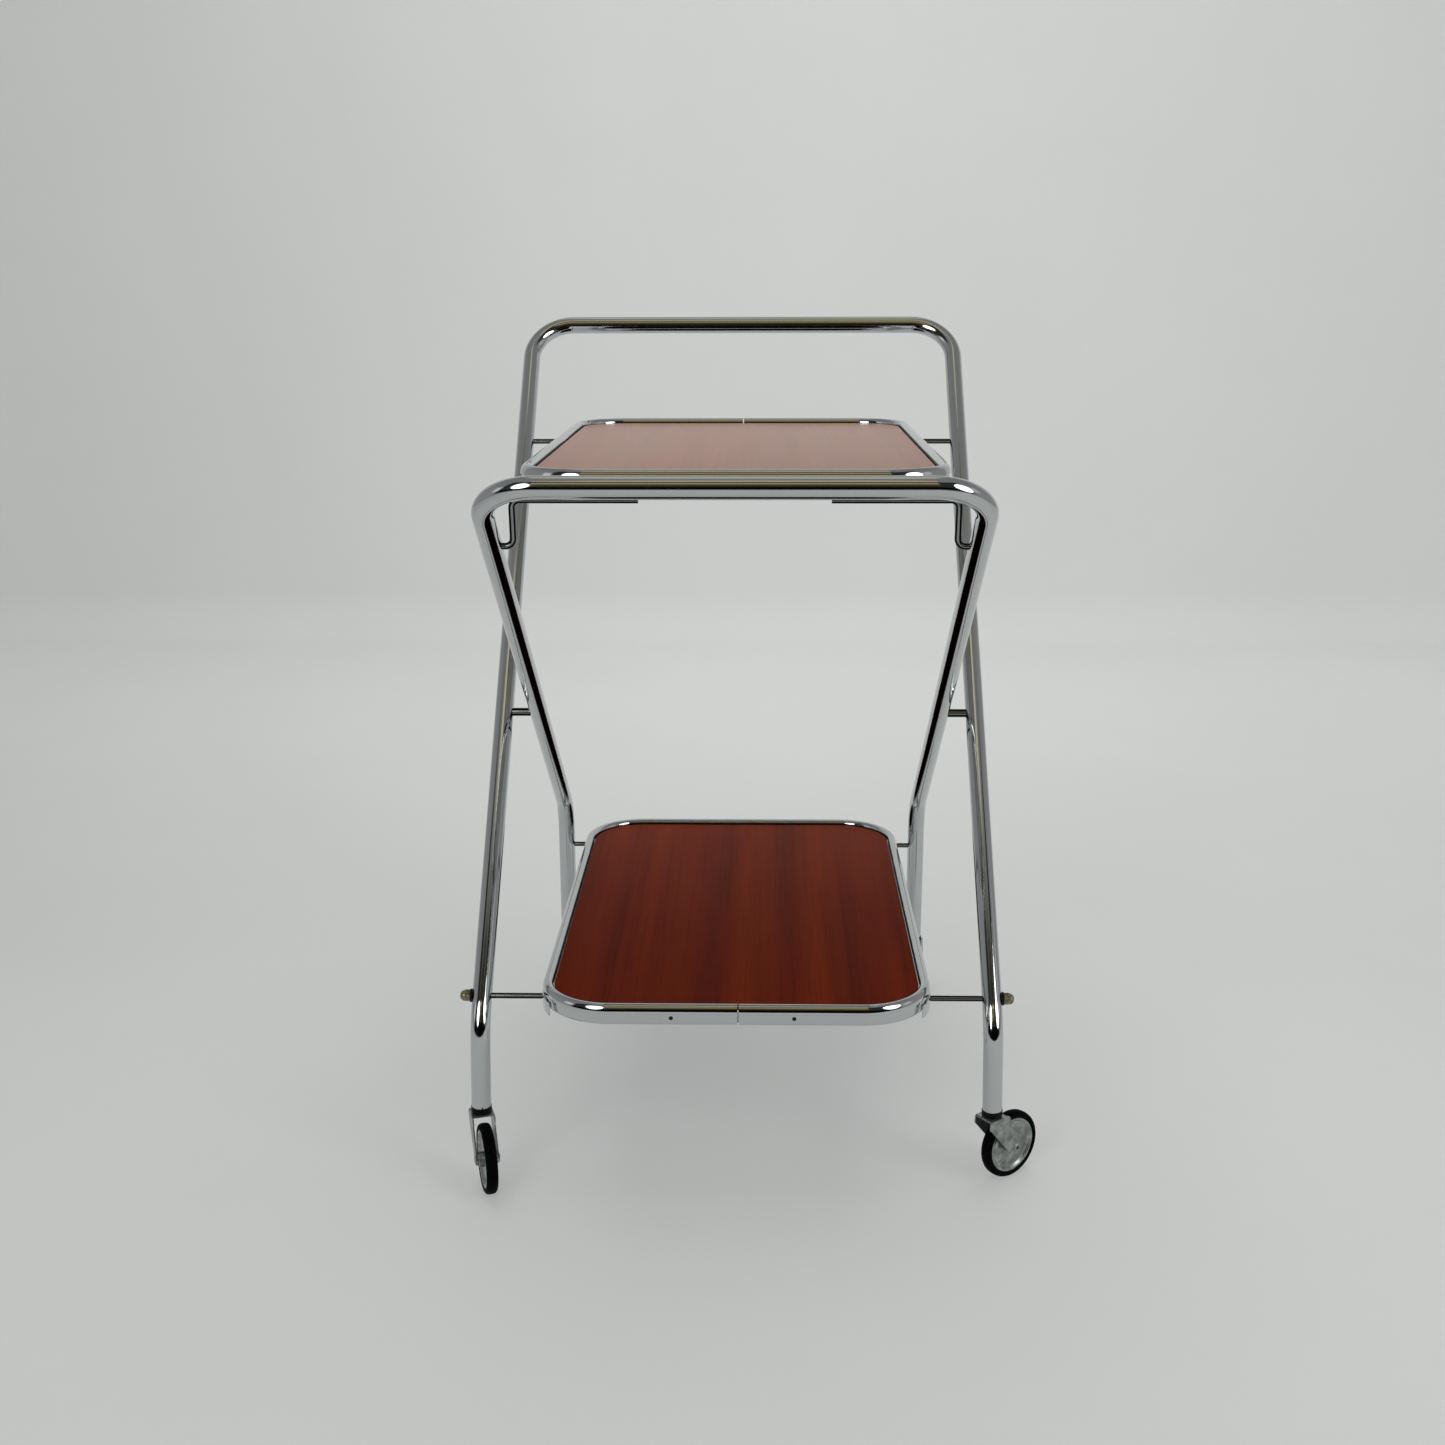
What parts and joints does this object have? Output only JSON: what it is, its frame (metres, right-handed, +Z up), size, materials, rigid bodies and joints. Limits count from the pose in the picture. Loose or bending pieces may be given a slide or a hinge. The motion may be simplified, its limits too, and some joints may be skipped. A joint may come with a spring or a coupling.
{
  "type": "folding serving trolley",
  "caption": "Folding serving trolley: crossed bent-tube frames, an upper and a lower rimmed laminate tray, a push handle and swivel castors.",
  "frame": {"origin": "on the floor, in the middle plane between the tube frames' legs, half-way between the frames' front and rear", "axes": "+X across the trolley to the right seen from the front, +Y towards the push handle, +Z up"},
  "size_m": [0.5315, 0.6677, 0.7625],
  "materials": {
    "chromed_steel": "bright chrome plate",
    "laminate": "glossy red-brown woodgrain laminate on board",
    "zinc_plated_steel": "dull zinc plate",
    "dull_steel": "tarnished plated steel",
    "black_plastic": "moulded",
    "tyre": "smooth black rubber"
  },
  "bodies": {
    "outer_frame": {"outer_frame_tube": "chromed_steel", "pivot_pin_left": "chromed_steel", "pivot_pin_right": "chromed_steel", "rear_rod": "chromed_steel", "front_rod": "chromed_steel", "rod_washer_left": "black_plastic", "acorn_nut_left": "dull_steel", "rod_washer_right": "black_plastic", "acorn_nut_right": "dull_steel", "front_left_stem_bush": "black_plastic", "front_right_stem_bush": "black_plastic"},
    "inner_frame": {"inner_frame_tube": "chromed_steel", "lower_tray_pin_left": "chromed_steel", "lower_tray_pin_right": "chromed_steel", "upper_tray_wire_left": "chromed_steel", "upper_tray_wire_right": "chromed_steel", "rear_left_stem_bush": "black_plastic", "rear_right_stem_bush": "black_plastic"},
    "upper_tray": {"upper_tray_rim": "chromed_steel", "upper_tray_panel": "laminate", "upper_rim_joining_strip": "zinc_plated_steel", "upper_rim_rivet_left": "dull_steel", "upper_rim_rivet_right": "dull_steel", "upper_tray_ear_left": "zinc_plated_steel", "upper_tray_ear_right": "zinc_plated_steel"},
    "lower_tray": {"lower_tray_rim": "chromed_steel", "lower_tray_panel": "laminate", "lower_rim_joining_strip": "zinc_plated_steel", "lower_rim_rivet_left": "dull_steel", "lower_rim_rivet_right": "dull_steel", "lower_tray_hook_left": "chromed_steel", "lower_tray_hook_right": "chromed_steel"},
    "front_left_castor": {"front_left_swivel_pin": "zinc_plated_steel", "front_left_fork": "zinc_plated_steel", "front_left_axle": "dull_steel"},
    "front_left_wheel": {"front_left_wheel_hub": "zinc_plated_steel", "front_left_tyre": "tyre"},
    "front_right_castor": {"front_right_swivel_pin": "zinc_plated_steel", "front_right_fork": "zinc_plated_steel", "front_right_axle": "dull_steel"},
    "front_right_wheel": {"front_right_wheel_hub": "zinc_plated_steel", "front_right_tyre": "tyre"},
    "rear_left_castor": {"rear_left_swivel_pin": "zinc_plated_steel", "rear_left_fork": "zinc_plated_steel", "rear_left_axle": "dull_steel"},
    "rear_left_wheel": {"rear_left_wheel_hub": "zinc_plated_steel", "rear_left_tyre": "tyre"},
    "rear_right_castor": {"rear_right_swivel_pin": "zinc_plated_steel", "rear_right_fork": "zinc_plated_steel", "rear_right_axle": "dull_steel"},
    "rear_right_wheel": {"rear_right_wheel_hub": "zinc_plated_steel", "rear_right_tyre": "tyre"}
  },
  "joints": [
    {"name": "fold", "type": "hinge", "parent": "outer_frame", "child": "inner_frame", "pos_m": [0, 0.00312, 0.3918], "axis": [-1, 0, 0], "range_deg": [0, 80]},
    {"name": "upper_tray_tilt", "type": "hinge", "parent": "outer_frame", "child": "upper_tray", "pos_m": [0, 0.22002, 0.6355], "axis": [-1, 0, 0], "range_deg": [0, 112]},
    {"name": "lower_tray_tilt", "type": "hinge", "parent": "inner_frame", "child": "lower_tray", "pos_m": [0, 0.20793, 0.183], "axis": [-1, 0, 0], "range_deg": [0, 37.6]},
    {"name": "front_left_swivel", "type": "hinge", "parent": "outer_frame", "child": "front_left_castor", "pos_m": [-0.2338, -0.20773, 0.0675], "axis": [0, 0, 1], "continuous": true},
    {"name": "front_left_wheel_spin", "type": "hinge", "parent": "front_left_castor", "child": "front_left_wheel", "pos_m": [-0.22654, -0.23008, 0.032], "axis": [-0.9511, -0.309, 0], "continuous": true},
    {"name": "front_right_swivel", "type": "hinge", "parent": "outer_frame", "child": "front_right_castor", "pos_m": [0.2338, -0.20773, 0.0675], "axis": [0, 0, 1], "continuous": true},
    {"name": "front_right_wheel_spin", "type": "hinge", "parent": "front_right_castor", "child": "front_right_wheel", "pos_m": [0.25244, -0.19342, 0.032], "axis": [0.6088, -0.7934, 0], "continuous": true},
    {"name": "rear_left_swivel", "type": "hinge", "parent": "inner_frame", "child": "rear_left_castor", "pos_m": [-0.19755, 0.20793, 0.0675], "axis": [0, 0, 1], "continuous": true},
    {"name": "rear_left_wheel_spin", "type": "hinge", "parent": "rear_left_castor", "child": "rear_left_wheel", "pos_m": [-0.19266, 0.23092, 0.032], "axis": [0.9781, -0.2079, 0], "continuous": true},
    {"name": "rear_right_swivel", "type": "hinge", "parent": "inner_frame", "child": "rear_right_castor", "pos_m": [0.19755, 0.20793, 0.0675], "axis": [0, 0, 1], "continuous": true},
    {"name": "rear_right_wheel_spin", "type": "hinge", "parent": "rear_right_castor", "child": "rear_right_wheel", "pos_m": [0.20163, 0.23107, 0.032], "axis": [0.9848, -0.1736, 0], "continuous": true}
  ],
  "couplings": [
    {"joint": "upper_tray_tilt", "follows": "fold", "ratio": 1.4},
    {"joint": "lower_tray_tilt", "follows": "fold", "ratio": 0.47}
  ]
}
